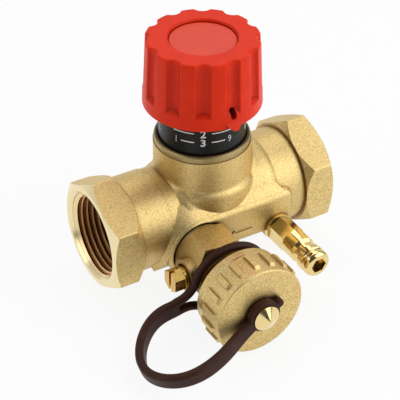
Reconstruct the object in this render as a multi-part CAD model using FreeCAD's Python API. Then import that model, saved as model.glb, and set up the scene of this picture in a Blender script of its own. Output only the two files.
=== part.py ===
import FreeCAD, Part
import math
import os

# Balancing valve, DN 20, straight pattern. Millimetres.
# Frame: origin on the pipe axis at the outer end of the outlet thread, +X along the pipe to the inlet,
# +Z up along the spindle, -Y the front, where the drain and the test nipple stand.

# Pipe run
body_length = 77.0
hex_across_flats = 32.0
hex_length = 10.0
hex_face_radius = 15.6
hex_face_chamfer_deg = 30.0
hex_inner_chamfer = 2.4
hex_corner_round = 0.8
socket_radius = 14.9
socket_length = 20.5
run_radius = 14.6
pipe_thread_radius = 13.22
pipe_thread_length = 15.0
mouth_countersink = 0.9

# Barrel, neck and front pad
barrel_radius = 15.5
barrel_rise = 0.4
barrel_left_reach = 17.0
barrel_end_round = 7.0
neck_radius = 14.8
neck_seam_height = 22.9
rim_height = 2.4
rim_radius = 14.55
rim_round = 1.2
neck_root_round = 2.2
neck_foot_round = 1.5
drum_radius = 16.0
drum_height = 12.7
drum_round = 2.4
pad_reach = 17.0
pad_side = 23.0
pad_bottom = -6.2
pad_edge_round = 2.2
pad_boss_round = 0.7
pad_corner_round = 2.5
flank_deg = 46.0
flank_length = 7.0
flank_end_slant = 4.0
flank_belly_radius = 16.6

# Flow ways
seat_height = 2.0
seat_radius = 8.5
partition = 3.0
chamber_radius = 10.6
lower_chamber_radius = 8.5
duct_width = 16.0
duct_height = 8.0
duct_gap = 0.5

# Lift of the cone, with the knob set at 1.9 of 3.2 turns from fully open
lead = 3.0
turns_total = 3.2
turns_set = 1.9
stop_gap = 0.4

# Headpiece and scale sleeve
headpiece_radius = 12.0
headpiece_hex_across = 19.0
headpiece_hex_height = 6.0
headpiece_tube_radius = 9.8
headpiece_spigot_radius = 9.0
headpiece_spigot = 2.5
sleeve_radius = 13.2
sleeve_wall = 1.1
sleeve_height = 20.0
sleeve_lid = 1.5
lift_thread_radius = 7.0
lift_thread_depth = 15.0

# Spindle, cone and preset screw
stem_radius = 5.0
foot_radius = 4.0
foot_neck_radius = 3.2
foot_tail = 1.0
cone_radius = 10.1
cone_height = 3.0
plug_radius = 8.0
plug_height = 2.9
seal_inner_radius = 8.55
seal_outer_radius = 9.7
seal_height = 1.2
clip_height = 0.8
clip_radius = 5.4
preset_radius = 2.5
preset_length = 20.0
preset_socket_across = 3.0
preset_socket_depth = 4.0
o_ring_section = 1.6

# Knob
knob_height = 21.1
knob_rise = 13.2
knob_bottom_radius = 17.8
knob_top_radius = 16.8
knob_edge_round = 0.7
knob_bottom_round = 0.5
knob_cavity_radius = 14.6
hub_across = 8.0
flute_count = 12
flute_radius = 2.7
flute_depth = 1.35
flute_start = 4.3
cover_radius = 10.0
cover_height = 2.0
cover_sink = 0.8
cover_ledge = 1.0
cover_mouth = 0.5
lug_width = 5.2
lug_height = 3.2
lug_tip = 1.6
lug_reach = 1.5
slot_width = 1.9
slot_height = 3.4
slot_rise = 4.5

# Drain
drain_offset = 9.7
drain_level = -5.0
drain_boss_radius = 10.8
drain_recess_radius = 9.75
drain_recess = 2.0
drain_thread_radius = 6.58
drain_thread_length = 7.0
drain_feed_reach = 1.0
gasket_height = 0.8
gasket_lap = 2.3
tube_radius = 9.3
drain_hex_across = 18.9
drain_hex_start = 18.2
drain_hex_end = 28.6
collar_radius = 13.8
collar_start = 36.2
collar_end = 39.7
stub_radius = 12.6
stub_end = 45.6
stub_bore_radius = 8.5
way_radius = 4.0
ball_place = 24.9
ball_radius = 6.2
seat_ring_radius = 6.8
seat_ring_near = 3.8
seat_ring_far = 6.5
retainer_length = 3.6
stem_boss_radius = 5.2
stem_boss_reach = 10.9
stem_boss_recess_radius = 3.9
stem_boss_recess = 1.2
drain_stem_radius = 2.8
drain_collar_radius = 3.5
drain_collar_length = 1.1
drain_head_across = 6.4
drain_head_length = 3.6
driver_slot_width = 1.2
driver_slot_depth = 1.4
tang_width = 2.4
tang_depth = 1.4

# Cap and pin
cap_start = 40.0
cap_length = 9.5
cap_radius = 14.2
cap_rib_radius = 15.0
cap_rib_count = 18
cap_rib_width = 1.7
cap_rib_front_gap = 2.0
cap_rib_back_gap = 0.7
cap_front_wall = 2.2
cap_front_round = 0.6
cap_washer_height = 1.5
pin_stem_radius = 2.0
pin_stem_length = 1.6
pin_neck_radius = 2.4
pin_head_radius = 4.05
pin_head_rim = 0.4
pin_head_point = 2.1

# Strap: a ring round the drain tube, a looped band and an eye on the cap's pin
strap_thickness = 2.5
strap_edge_share = 0.44
strap_width = 5.2
strap_root_width = 6.0
strap_eye_width = 4.6
strap_ring_place = 32.4
strap_ring_wall = 2.5
strap_ring_slack = 0.9
strap_ring_droop_deg = 13.6
strap_ring_tilt_deg = 2.5
strap_fork = 16.6
strap_root_lead = 0.4
strap_loop_droop_deg = 15.0
strap_out_reach = 24.5
strap_out_back = 0.5
strap_out_rise = 0.9
strap_far_reach = 36.3
strap_far_front = 2.05
strap_far_rise = -1.3
strap_low_reach = 29.8
strap_low_front = 4.8
strap_low_rise = 0.2
strap_near_reach = 14.7
strap_near_front = 3.4
strap_near_rise = -1.3
strap_sections = 19
eye_droop_deg = 29.0
eye_thickness = 2.8
eye_wall = 2.3
eye_edge_round = 0.7
nub_length = 1.9
nub_width = 2.4

# Test nipple
nipple_offset = 17.1
nipple_level = -6.0
nipple_boss_radius = 4.7
nipple_thread_radius = 3.2
nipple_thread_length = 7.0
nipple_feed_radius = 1.5
nipple_feed_reach = 4.0
nipple_collar_radius = 4.5
nipple_collar_length = 1.3
nipple_hex_across = 7.6
nipple_hex_turn_deg = 30.0
nipple_hex_length = 7.8
nipple_barrel_radius = 4.2
nipple_barrel_length = 5.7
nipple_groove_radius = 3.3
nipple_groove_length = 2.5
nipple_slope = 0.8
nipple_head_radius = 4.35
nipple_head_length = 5.4
nipple_head_round = 1.6
nipple_socket_across = 4.4
nipple_socket_depth = 4.5
nipple_bore_radius = 2.0
nipple_seat_length = 2.0
nipple_throat_radius = 1.1
poppet_head_length = 2.0
poppet_stroke = 1.2
spring_wire_radius = 0.22
spring_turns = 5

# Flow arrow on the pad
arrow_length = 8.4
arrow_head_length = 2.2
arrow_head_height = 3.8
arrow_tail_height = 1.7
arrow_raise = 0.3
arrow_offset = 3.7
arrow_level = -3.9

# Fits
running_gap = 0.05
thread_gap = 0.05
free_gap = 0.3

# Places that follow from the sizes
V = FreeCAD.Vector
ORIGIN = V(0, 0, 0)
X = V(1, 0, 0)
Y = V(0, 1, 0)
Z = V(0, 0, 1)
FRONT = V(0, -1, 0)

outlet_face = -mouth_countersink
inlet_face = outlet_face + body_length
centre_x = outlet_face + body_length / 2
drain_x = centre_x - drain_offset
nipple_x = centre_x + nipple_offset
pad_right = centre_x + pad_side
pad_top = drain_level + drain_boss_radius
neck_top = neck_seam_height + rim_height

full_lift = lead * turns_total
rest_lift = lead * (turns_total - turns_set)
rise_left = lead * turns_set
seal_bottom = seat_height + rest_lift
cone_top = seal_bottom + cone_height
headpiece_bottom = seat_height + full_lift + cone_height + stop_gap
thread_roof = headpiece_bottom + lift_thread_depth
lift_thread_top = thread_roof - rise_left - stop_gap
lift_thread_bottom = cone_top + running_gap
sleeve_top = neck_seam_height + sleeve_height
sleeve_seat = sleeve_top - sleeve_lid
headpiece_top = sleeve_seat + headpiece_spigot
plug_bottom = seal_bottom - plug_height
foot_bottom = plug_bottom - clip_height - foot_tail

knob_bottom = neck_seam_height + knob_rise
knob_top = knob_bottom + knob_height
cavity_roof = headpiece_top + rest_lift + 2 * stop_gap
cover_top = knob_top - cover_sink
cover_bottom = cover_top - cover_height
stem_top = cover_bottom - stop_gap
hub_top = stem_top - foot_tail - clip_height
hub_height = hub_top - cavity_roof
hub_round_radius = hub_across / 2 - free_gap

pad_face = -pad_reach
recess_floor = pad_face + drain_recess
tube_back = recess_floor - gasket_height
stub_root = recess_floor + drain_thread_length
ball_y = -ball_place
retainer_front = ball_y - seat_ring_far - retainer_length
cap_back = -cap_start
cap_front = cap_back - cap_length
cap_floor = cap_front + cap_front_wall
pin_eye_space = eye_thickness + free_gap
eye_back = cap_front - free_gap / 2
eye_middle = eye_back - eye_thickness / 2
eye_radius = pin_neck_radius + free_gap
nipple_hex_start = nipple_collar_length
nipple_barrel_start = nipple_hex_start + nipple_hex_length
nipple_groove_start = nipple_barrel_start + nipple_barrel_length
nipple_head_start = nipple_groove_start + nipple_groove_length
nipple_length = nipple_head_start + nipple_head_length
nipple_tip = pad_face - nipple_length


def cylinder(radius, start, direction, length):
    return Part.makeCylinder(radius, length, start, direction)


def tube(outer, inner, start, direction, length):
    return cylinder(outer, start, direction, length).cut(cylinder(inner, start, direction, length))


def prism(across_flats, start, direction, length, turn_deg=0.0, corner_round=0.0):
    """Hexagonal bar; turn_deg turns its first corner about the axis."""
    corner = across_flats / 2 / math.cos(math.pi / 6)
    points = []
    for i in range(7):
        angle = math.radians(60 * i + turn_deg)
        points.append(V(corner * math.cos(angle), corner * math.sin(angle), 0))
    bar = Part.Face(Part.makePolygon(points)).extrude(V(0, 0, length))
    if corner_round:
        bar = bar.makeFillet(corner_round, edges_where(bar, runs_upright))
    bar.Placement = FreeCAD.Placement(start, FreeCAD.Rotation(Z, direction))
    return bar


def turned(points, start, direction):
    """Solid of revolution; points are (distance along the axis, radius) from start."""
    outline = [V(r, 0, a) for a, r in points]
    face = Part.Face(Part.makePolygon(outline + outline[:1]))
    body = face.revolve(ORIGIN, Z, 360)
    body.Placement = FreeCAD.Placement(start, FreeCAD.Rotation(Z, direction))
    return body


def o_ring(inner, start, direction):
    """Ring of round section whose bore is the given radius, centred on start."""
    section = o_ring_section / 2
    return Part.makeTorus(inner + section, section, start, direction)


def fused(shapes):
    return shapes[0].multiFuse(shapes[1:]).removeSplitter()


def edges_where(shape, test):
    return [edge for edge in shape.Edges if test(edge)]


def near(a, b):
    return abs(a - b) < 1e-3


def edge_points(edge, count=9):
    return edge.discretize(Number=count)


def runs_upright(edge):
    return abs(edge.tangentAt(edge.FirstParameter).z) > 0.9


def hex_end(x, direction):
    """Forged hexagon of one pipe end, its mouth at x, with both rims turned off."""
    bar = prism(hex_across_flats, V(x, 0, 0), direction, hex_length, corner_round=hex_corner_round)
    corner = hex_across_flats / 2 / math.cos(math.pi / 6)
    face_depth = (corner - hex_face_radius) * math.tan(math.radians(hex_face_chamfer_deg))
    envelope = turned(
        [
            (0, 0),
            (0, hex_face_radius),
            (face_depth, corner),
            (hex_length - hex_inner_chamfer, corner),
            (hex_length, corner - hex_inner_chamfer),
            (hex_length, 0),
        ],
        V(x, 0, 0),
        direction,
    )
    return bar.common(envelope)


def pad_block():
    """Front pad: flat face with a round end about the drain and a boss under the nipple."""
    face_y = pad_face
    low_drain = math.sqrt(drain_boss_radius ** 2 - (pad_bottom - drain_level) ** 2)
    low_nipple = math.sqrt(nipple_boss_radius ** 2 - (pad_bottom - nipple_level) ** 2)

    def at(x, z):
        return V(x, face_y, z)

    top_left = at(drain_x, pad_top)
    top_right = at(pad_right - pad_corner_round, pad_top)
    corner_mid = at(
        pad_right - pad_corner_round * (1 - math.sqrt(0.5)),
        pad_top - pad_corner_round * (1 - math.sqrt(0.5)),
    )
    right_top = at(pad_right, pad_top - pad_corner_round)
    right_low = at(pad_right, pad_bottom)
    nipple_right = at(nipple_x + low_nipple, pad_bottom)
    nipple_mid = at(nipple_x, nipple_level - nipple_boss_radius)
    nipple_left = at(nipple_x - low_nipple, pad_bottom)
    drain_right = at(drain_x + low_drain, pad_bottom)
    drain_mid = at(drain_x - drain_boss_radius, drain_level)
    outline = Part.Wire(
        [
            Part.LineSegment(top_left, top_right).toShape(),
            Part.Arc(top_right, corner_mid, right_top).toShape(),
            Part.LineSegment(right_top, right_low).toShape(),
            Part.LineSegment(right_low, nipple_right).toShape(),
            Part.Arc(nipple_right, nipple_mid, nipple_left).toShape(),
            Part.LineSegment(nipple_left, drain_right).toShape(),
            Part.Arc(drain_right, drain_mid, top_left).toShape(),
        ]
    )
    block = Part.Face(outline).extrude(V(0, pad_reach - partition, 0))

    def on_face(edge):
        return all(near(p.y, face_y) for p in edge_points(edge))

    def under_nipple(edge):
        return all(p.z < pad_bottom + free_gap and p.x > nipple_left.x - free_gap for p in edge_points(edge))

    def straight_low(edge):
        return all(near(p.z, pad_bottom) for p in edge_points(edge))

    def on_rim(edge):
        return on_face(edge) and not straight_low(edge) and not under_nipple(edge)

    def on_boss(edge):
        return on_face(edge) and not straight_low(edge) and under_nipple(edge)

    block = block.makeFillet(pad_edge_round, edges_where(block, on_rim))
    return block.makeFillet(pad_boss_round, edges_where(block, on_boss))


def pad_flanks():
    """Sloped sides that run from the pad's rounded rim back to the barrel, on top and round the drain."""
    rise = math.sin(math.radians(flank_deg))
    depth = math.cos(math.radians(flank_deg))
    start_y = pad_face + pad_edge_round * (1 - rise) + free_gap / 2
    start_z = pad_top - pad_edge_round * (1 - depth)
    end_y = start_y + flank_length * depth
    end_z = start_z + flank_length * rise
    right = pad_right - pad_corner_round

    def section(x_start, x_end):
        corners = [V(x_start, start_y, start_z), V(x_end, end_y, end_z), V(x_end, end_y, start_z)]
        return Part.makePolygon(corners + corners[:1])

    top = Part.makeLoft([section(drain_x, drain_x), section(right, right - flank_end_slant)], True, True)
    left = Part.makeCone(
        start_z - drain_level,
        end_z - drain_level,
        end_y - start_y,
        V(drain_x, start_y, drain_level),
        Y,
    )
    belly = cylinder(flank_belly_radius, V(outlet_face, 0, barrel_rise), X, centre_x - outlet_face)
    return [top, left.common(belly)]


def flow_arrow():
    """Raised arrow that points to the outlet."""
    tip = centre_x + arrow_offset - arrow_length / 2
    neck = tip + arrow_head_length
    tail = tip + arrow_length
    half_head = arrow_head_height / 2
    half_tail = arrow_tail_height / 2
    corners = [
        (tip, 0),
        (neck, half_head),
        (neck, half_tail),
        (tail, half_tail),
        (tail, -half_tail),
        (neck, -half_tail),
        (neck, -half_head),
        (tip, 0),
    ]
    points = [V(x, pad_face - arrow_raise, arrow_level + z) for x, z in corners]
    return Part.Face(Part.makePolygon(points)).extrude(V(0, 2 * arrow_raise, 0))


def duct(x_from, x_to, z_mid):
    """Flow way along the pipe: a slot with round sides."""
    radius = duct_height / 2
    offset = duct_width / 2 - radius
    length = x_to - x_from
    flat = Part.makeBox(length, 2 * offset, duct_height, V(x_from, -offset, z_mid - radius))
    sides = [cylinder(radius, V(x_from, side * offset, z_mid), X, length) for side in (-1, 1)]
    return fused([flat] + sides)


def pipe_mouth(x, direction):
    """Thread bore with a countersunk mouth."""
    return turned(
        [
            (0, 0),
            (0, pipe_thread_radius + mouth_countersink),
            (mouth_countersink, pipe_thread_radius),
            (pipe_thread_length, pipe_thread_radius),
            (pipe_thread_length, 0),
        ],
        V(x, 0, 0),
        direction,
    )


def make_valve_body():
    axis = V(centre_x, 0, 0)
    run = cylinder(run_radius, V(outlet_face + hex_length, 0, 0), X, body_length - 2 * hex_length)
    sockets = [
        cylinder(socket_radius, V(outlet_face, 0, 0), X, socket_length),
        cylinder(socket_radius, V(inlet_face, 0, 0), X * -1, socket_length),
    ]
    barrel_start = centre_x - barrel_left_reach
    barrel = cylinder(
        barrel_radius, V(barrel_start, 0, barrel_rise), X, pad_right - barrel_start
    )
    barrel_rims = edges_where(barrel, lambda e: e.Curve.TypeId == "Part::GeomCircle")
    barrel = barrel.makeFillet(barrel_end_round, barrel_rims)
    neck = cylinder(neck_radius, axis, Z, neck_seam_height)
    drum = cylinder(drum_radius, axis, Z, drum_height)
    drum_rim = edges_where(drum, lambda e: all(near(p.z, drum_height) for p in edge_points(e)))
    neck = fused([neck, drum.makeFillet(drum_round, drum_rim)])

    def at_neck_foot(edge):
        points = edge_points(edge)
        radii = [math.hypot(p.x - centre_x, p.y) for p in points]
        inside = all(partition < p.z < neck_seam_height - neck_foot_round for p in points)
        level = all(near(p.z, points[0].z) for p in points)
        return inside and level and all(near(r, neck_radius) for r in radii)

    neck = neck.makeFillet(neck_foot_round, edges_where(neck, at_neck_foot))
    core = fused([barrel, neck])

    def at_neck_root(edge):
        points = edge_points(edge)
        bent = edge.Curve.TypeId == "Part::GeomBSplineCurve"
        return bent and all(partition < p.z < neck_seam_height for p in points)

    core = core.makeFillet(neck_root_round, edges_where(core, at_neck_root))
    rim = cylinder(rim_radius, axis + Z * neck_seam_height, Z, rim_height)
    rim_top = edges_where(rim, lambda e: all(near(p.z, neck_top) for p in edge_points(e)))
    rim = rim.makeFillet(rim_round, rim_top)
    ends = [hex_end(outlet_face, X), hex_end(inlet_face, X * -1)]
    body = fused([core, rim, run, pad_block(), flow_arrow()] + pad_flanks() + sockets + ends)

    partition_bottom = seat_height - partition
    lower_floor = partition_bottom - duct_height
    upper_duct_mid = seat_height + duct_gap + duct_height / 2
    lower_duct_mid = partition_bottom - duct_height / 2
    chamber = cylinder(
        chamber_radius, axis + Z * seat_height, Z, headpiece_bottom - seat_height
    )
    seat_hole = cylinder(seat_radius, axis + Z * lower_floor, Z, seat_height - lower_floor)
    lower = cylinder(lower_chamber_radius, axis + Z * lower_floor, Z, duct_height)
    bonnet_bore = cylinder(
        headpiece_radius + thread_gap, axis + Z * headpiece_bottom, Z, neck_top - headpiece_bottom
    )
    sleeve_recess = cylinder(
        sleeve_radius + free_gap, axis + Z * neck_seam_height, Z, rim_height
    )
    drain_axis = V(drain_x, 0, drain_level)
    drain_recess_cut = cylinder(drain_recess_radius, drain_axis + Y * pad_face, Y, drain_recess)
    drain_thread = cylinder(
        drain_thread_radius + thread_gap, drain_axis + Y * pad_face, Y, stub_root - pad_face
    )
    drain_feed = cylinder(way_radius, drain_axis + Y * pad_face, Y, pad_reach - drain_feed_reach)
    nipple_axis = V(nipple_x, 0, nipple_level)
    nipple_thread = cylinder(
        nipple_thread_radius + thread_gap, nipple_axis + Y * pad_face, Y, nipple_thread_length
    )
    nipple_feed = cylinder(
        nipple_feed_radius, nipple_axis + Y * pad_face, Y, pad_reach - nipple_feed_reach
    )
    ways = [
        pipe_mouth(outlet_face, X),
        pipe_mouth(inlet_face, X * -1),
        duct(outlet_face + pipe_thread_length, centre_x, upper_duct_mid),
        duct(centre_x, inlet_face - pipe_thread_length, lower_duct_mid),
        chamber,
        seat_hole,
        lower,
        bonnet_bore,
        sleeve_recess,
        drain_recess_cut,
        drain_thread,
        drain_feed,
        nipple_thread,
        nipple_feed,
    ]
    for way in ways:
        body = body.cut(way)
    return body


def spindle_groove_heights():
    """Middles of the two ring grooves between the thread roof and the headpiece top."""
    span = headpiece_top - thread_roof
    return [thread_roof + span * share for share in (1 / 3, 2 / 3)]


def make_headpiece():
    axis = V(centre_x, 0, 0)
    hex_top = neck_seam_height + headpiece_hex_height
    plug = cylinder(
        headpiece_radius, axis + Z * headpiece_bottom, Z, neck_seam_height - headpiece_bottom
    )
    nut = prism(headpiece_hex_across, axis + Z * neck_seam_height, Z, headpiece_hex_height)
    upper = cylinder(headpiece_tube_radius, axis + Z * hex_top, Z, sleeve_seat - hex_top)
    spigot = cylinder(headpiece_spigot_radius, axis + Z * sleeve_seat, Z, headpiece_spigot)
    shape = fused([plug, nut, upper, spigot])
    bore = cylinder(
        stem_radius + running_gap, axis + Z * thread_roof, Z, headpiece_top - thread_roof
    )
    thread = cylinder(
        lift_thread_radius + running_gap, axis + Z * headpiece_bottom, Z, lift_thread_depth
    )
    for cut in (bore, thread):
        shape = shape.cut(cut)
    for height in spindle_groove_heights():
        groove = cylinder(
            stem_radius + running_gap + o_ring_section,
            axis + Z * (height - o_ring_section / 2),
            Z,
            o_ring_section,
        )
        shape = shape.cut(groove)
    ring_height = neck_seam_height - 2 * o_ring_section
    groove = tube(
        headpiece_radius + running_gap,
        headpiece_radius - o_ring_section,
        axis + Z * (ring_height - o_ring_section / 2),
        Z,
        o_ring_section,
    )
    return shape.cut(groove)


def make_headpiece_o_ring():
    height = neck_seam_height - 2 * o_ring_section
    return o_ring(headpiece_radius - o_ring_section, V(centre_x, 0, height), Z)


def make_spindle_o_rings():
    inner = stem_radius + running_gap
    rings = [o_ring(inner, V(centre_x, 0, h), Z) for h in spindle_groove_heights()]
    return Part.makeCompound(rings)


def make_scale_sleeve():
    axis = V(centre_x, 0, neck_seam_height)
    wall = tube(sleeve_radius, sleeve_radius - sleeve_wall, axis, Z, sleeve_height)
    lid = tube(
        sleeve_radius,
        headpiece_spigot_radius + running_gap,
        V(centre_x, 0, sleeve_seat),
        Z,
        sleeve_lid,
    )
    sleeve = fused([wall, lid])
    top_rim = edges_where(
        sleeve,
        lambda e: e.Curve.TypeId == "Part::GeomCircle"
        and near(e.Curve.Radius, sleeve_radius)
        and near(e.Curve.Center.z, sleeve_top),
    )
    return sleeve.makeChamfer(sleeve_lid / 2, top_rim)


def make_spindle():
    neck_height = clip_height + running_gap
    profile = [
        (foot_bottom, 0),
        (foot_bottom, foot_radius),
        (plug_bottom - neck_height, foot_radius),
        (plug_bottom - neck_height, foot_neck_radius),
        (plug_bottom, foot_neck_radius),
        (plug_bottom, foot_radius),
        (lift_thread_bottom, foot_radius),
        (lift_thread_bottom, lift_thread_radius),
        (lift_thread_top, lift_thread_radius),
        (lift_thread_top, stem_radius),
        (cavity_roof, stem_radius),
        (cavity_roof, hub_round_radius),
        (hub_top, hub_round_radius),
        (hub_top, foot_neck_radius),
        (hub_top + neck_height, foot_neck_radius),
        (hub_top + neck_height, hub_round_radius),
        (stem_top, hub_round_radius),
        (stem_top, 0),
    ]
    axis = V(centre_x, 0, 0)
    shape = turned(profile, axis, Z)
    drive = prism(hub_across, axis + Z * cavity_roof, Z, hub_height)
    shape = fused([shape, drive])
    bore_bottom = stem_top - preset_length - free_gap
    bore = cylinder(
        preset_radius + running_gap, axis + Z * bore_bottom, Z, preset_length + free_gap
    )
    return shape.cut(bore)


def make_preset_spindle():
    axis = V(centre_x, 0, stem_top - preset_length)
    rod = cylinder(preset_radius, axis, Z, preset_length)
    socket = prism(
        preset_socket_across,
        V(centre_x, 0, stem_top - preset_socket_depth),
        Z,
        preset_socket_depth,
    )
    groove = tube(
        preset_radius + running_gap,
        preset_radius - o_ring_section / 2,
        axis + Z * (preset_length / 2 - o_ring_section / 4),
        Z,
        o_ring_section / 2,
    )
    return rod.cut(socket).cut(groove)


def make_preset_o_ring():
    section = o_ring_section / 4
    middle = V(centre_x, 0, stem_top - preset_length / 2)
    return Part.makeTorus(preset_radius - section, section, middle, Z)


def make_cone():
    axis = V(centre_x, 0, 0)
    disc = cylinder(cone_radius, axis + Z * seal_bottom, Z, cone_height)
    plug = cylinder(plug_radius, axis + Z * plug_bottom, Z, plug_height)
    hole = cylinder(foot_radius + running_gap, axis + Z * plug_bottom, Z, cone_top - plug_bottom)
    groove = tube(
        seal_outer_radius, seal_inner_radius, axis + Z * seal_bottom, Z, seal_height
    )
    return fused([disc, plug]).cut(hole).cut(groove)


def make_cone_seal():
    return tube(
        seal_outer_radius, seal_inner_radius, V(centre_x, 0, seal_bottom), Z, seal_height
    )


def snap_ring(height):
    """Open ring for a groove of the spindle, its gap to the front."""
    axis = V(centre_x, 0, height)
    ring = tube(clip_radius, foot_neck_radius + running_gap, axis, Z, clip_height)
    gap = Part.makeBox(
        foot_neck_radius,
        2 * clip_radius,
        clip_height,
        V(centre_x - foot_neck_radius / 2, -2 * clip_radius, height),
    )
    return ring.cut(gap)


def make_cone_clip():
    return snap_ring(plug_bottom - clip_height)


def make_knob_clip():
    return snap_ring(hub_top)


def knob_radius_at(height):
    share = (height - knob_bottom) / knob_height
    return knob_bottom_radius + (knob_top_radius - knob_bottom_radius) * share


def flute_ledge(foot):
    """Cone under the flutes: each flute runs out on a slope of 45 degrees that meets the skirt at foot."""
    radius = knob_radius_at(foot)
    inner = radius - 2 * flute_depth
    outer = radius + 2 * flute_radius
    return turned(
        [
            (foot - 3 * flute_radius, 0),
            (foot - 3 * flute_radius, outer),
            (foot - 2 * flute_radius, outer),
            (foot + 2 * flute_depth, inner),
            (foot + 2 * flute_depth, 0),
        ],
        V(centre_x, 0, 0),
        Z,
    )


def make_knob():
    axis = V(centre_x, 0, 0)
    shell = Part.makeCone(
        knob_bottom_radius, knob_top_radius, knob_height, axis + Z * knob_bottom, Z
    )

    def on_foot(edge):
        return all(near(p.z, knob_bottom) for p in edge_points(edge))

    shell = shell.makeFillet(knob_bottom_round, edges_where(shell, on_foot))
    lean = math.atan2(knob_bottom_radius - knob_top_radius, knob_height)
    foot = knob_bottom + flute_start
    ledge = flute_ledge(foot)
    for i in range(flute_count):
        angle = 2 * math.pi * i / flute_count
        out = V(math.cos(angle), math.sin(angle), 0)
        direction = Z * math.cos(lean) - out * math.sin(lean)
        start = axis + Z * foot + out * (knob_radius_at(foot) + flute_radius - flute_depth)
        cutter = cylinder(flute_radius, start - direction * flute_radius, direction, 2 * knob_height)
        shell = shell.cut(cutter.cut(ledge))

    def on_ridge(edge):
        points = edge_points(edge)
        radii = [math.hypot(p.x - centre_x, p.y) for p in points]
        rising = points[0].z < foot + flute_depth or points[-1].z < foot + flute_depth
        return (
            rising
            and abs(points[0].z - points[-1].z) > flute_radius
            and all(near(r, knob_radius_at(p.z)) for r, p in zip(radii, points))
        )

    def on_rim(edge):
        return all(near(p.z, knob_top) for p in edge_points(edge))

    shell = shell.makeFillet(knob_edge_round, edges_where(shell, lambda e: on_ridge(e) or on_rim(e)))
    lug = pointer_lug()
    shell = fused([shell, lug])
    cavity = cylinder(
        knob_cavity_radius, axis + Z * knob_bottom, Z, cavity_roof - knob_bottom
    )
    hub_hole = prism(hub_across + 2 * running_gap, axis + Z * cavity_roof, Z, hub_height)
    well = cylinder(cover_radius - cover_ledge, axis + Z * hub_top, Z, knob_top - hub_top)
    cover_seat = cylinder(
        cover_radius + running_gap, axis + Z * cover_bottom, Z, knob_top - cover_bottom
    )
    mouth = Part.makeCone(
        cover_radius + running_gap,
        cover_radius + running_gap + cover_mouth,
        cover_mouth,
        axis + Z * (knob_top - cover_mouth),
        Z,
    )
    for cut in (cavity, hub_hole, well, cover_seat, mouth, sealing_slot()):
        shell = shell.cut(cut)
    return shell


def pointer_lug():
    """Pointer on the front of the skirt: wide above, narrow below."""
    front = -(knob_bottom_radius + lug_reach)
    half = lug_width / 2
    tip = lug_tip / 2
    top = knob_bottom + lug_height
    corners = [
        (-half, top),
        (half, top),
        (half, top - lug_height / 2),
        (tip, knob_bottom),
        (-tip, knob_bottom),
        (-half, top - lug_height / 2),
        (-half, top),
    ]
    points = [V(centre_x + x, front, z) for x, z in corners]
    depth = lug_reach + knob_bottom_radius - knob_cavity_radius
    block = Part.Face(Part.makePolygon(points)).extrude(V(0, depth, 0))
    slope = Part.makeCone(
        knob_bottom_radius + lug_reach,
        knob_radius_at(top) - flute_depth / 2,
        lug_height,
        V(centre_x, 0, knob_bottom),
        Z,
    )
    return block.common(slope)


def sealing_slot():
    """Upright slot for a sealing wire, over the pointer."""
    middle = knob_bottom + slot_rise
    radius = slot_width / 2
    straight = slot_height - slot_width
    low = V(centre_x, 0, middle - straight / 2)
    box = Part.makeBox(
        slot_width, 2 * knob_bottom_radius, straight, low + V(-radius, -2 * knob_bottom_radius, 0)
    )
    ends = [
        cylinder(radius, low + Z * (straight * share), FRONT, 2 * knob_bottom_radius)
        for share in (0, 1)
    ]
    return fused([box] + ends)


def make_knob_cover():
    disc = cylinder(cover_radius, V(centre_x, 0, cover_bottom), Z, cover_height)
    rim = edges_where(disc, lambda e: all(near(p.z, cover_top) for p in edge_points(e)))
    return disc.makeFillet(cover_height / 4, rim)


def drain_point(y):
    return V(drain_x, y, drain_level)


def drain_hexagon():
    """Wrench hexagon of the drain tube, both ends turned off to its flats."""
    start = drain_point(-drain_hex_start)
    length = drain_hex_end - drain_hex_start
    flat = drain_hex_across / 2
    corner = flat / math.cos(math.pi / 6)
    depth = (corner - flat) * math.tan(math.radians(hex_face_chamfer_deg))
    envelope = turned(
        [
            (0, 0),
            (0, flat),
            (depth, corner),
            (length - depth, corner),
            (length, flat),
            (length, 0),
        ],
        start,
        FRONT,
    )
    return prism(drain_hex_across, start, FRONT, length).common(envelope)


def make_drain_body():
    edge = collar_radius - stub_radius
    profile = [
        (-stub_root, 0),
        (-stub_root, drain_thread_radius),
        (-tube_back, drain_thread_radius),
        (-tube_back, tube_radius),
        (collar_start, tube_radius),
        (collar_start, collar_radius - edge),
        (collar_start + edge, collar_radius),
        (collar_end, collar_radius),
        (collar_end, stub_radius),
        (stub_end, stub_radius),
        (stub_end, 0),
    ]
    shape = turned(profile, drain_point(0), FRONT)
    boss = cylinder(stem_boss_radius, drain_point(ball_y), X * -1, stem_boss_reach)
    shape = fused([shape, drain_hexagon(), boss])
    ball_room = cylinder(
        seat_ring_radius + thread_gap,
        drain_point(retainer_front),
        Y,
        seat_ring_far + ball_y - retainer_front,
    )
    way = cylinder(way_radius, drain_point(-stub_end), Y, stub_end + stub_root)
    mouth = cylinder(stub_bore_radius, drain_point(-stub_end), Y, stub_end + retainer_front)
    stem_hole = cylinder(
        drain_stem_radius + running_gap, drain_point(ball_y), X * -1, stem_boss_reach
    )
    recess = cylinder(
        stem_boss_recess_radius,
        drain_point(ball_y) - X * (stem_boss_reach - stem_boss_recess),
        X * -1,
        stem_boss_recess,
    )
    for cut in (ball_room, way, mouth, stem_hole, recess):
        shape = shape.cut(cut)
    groove = cylinder(
        drain_stem_radius + running_gap + o_ring_section / 2,
        drain_point(ball_y) - X * stem_ring_place(),
        X * -1,
        o_ring_section / 2,
    )
    return shape.cut(groove)


def stem_ring_place():
    """Distance from the drain axis to the near wall of the stem's ring groove."""
    wall_start = seat_ring_radius
    wall_end = stem_boss_reach - stem_boss_recess
    return (wall_start + wall_end) / 2 - o_ring_section / 4


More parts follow.
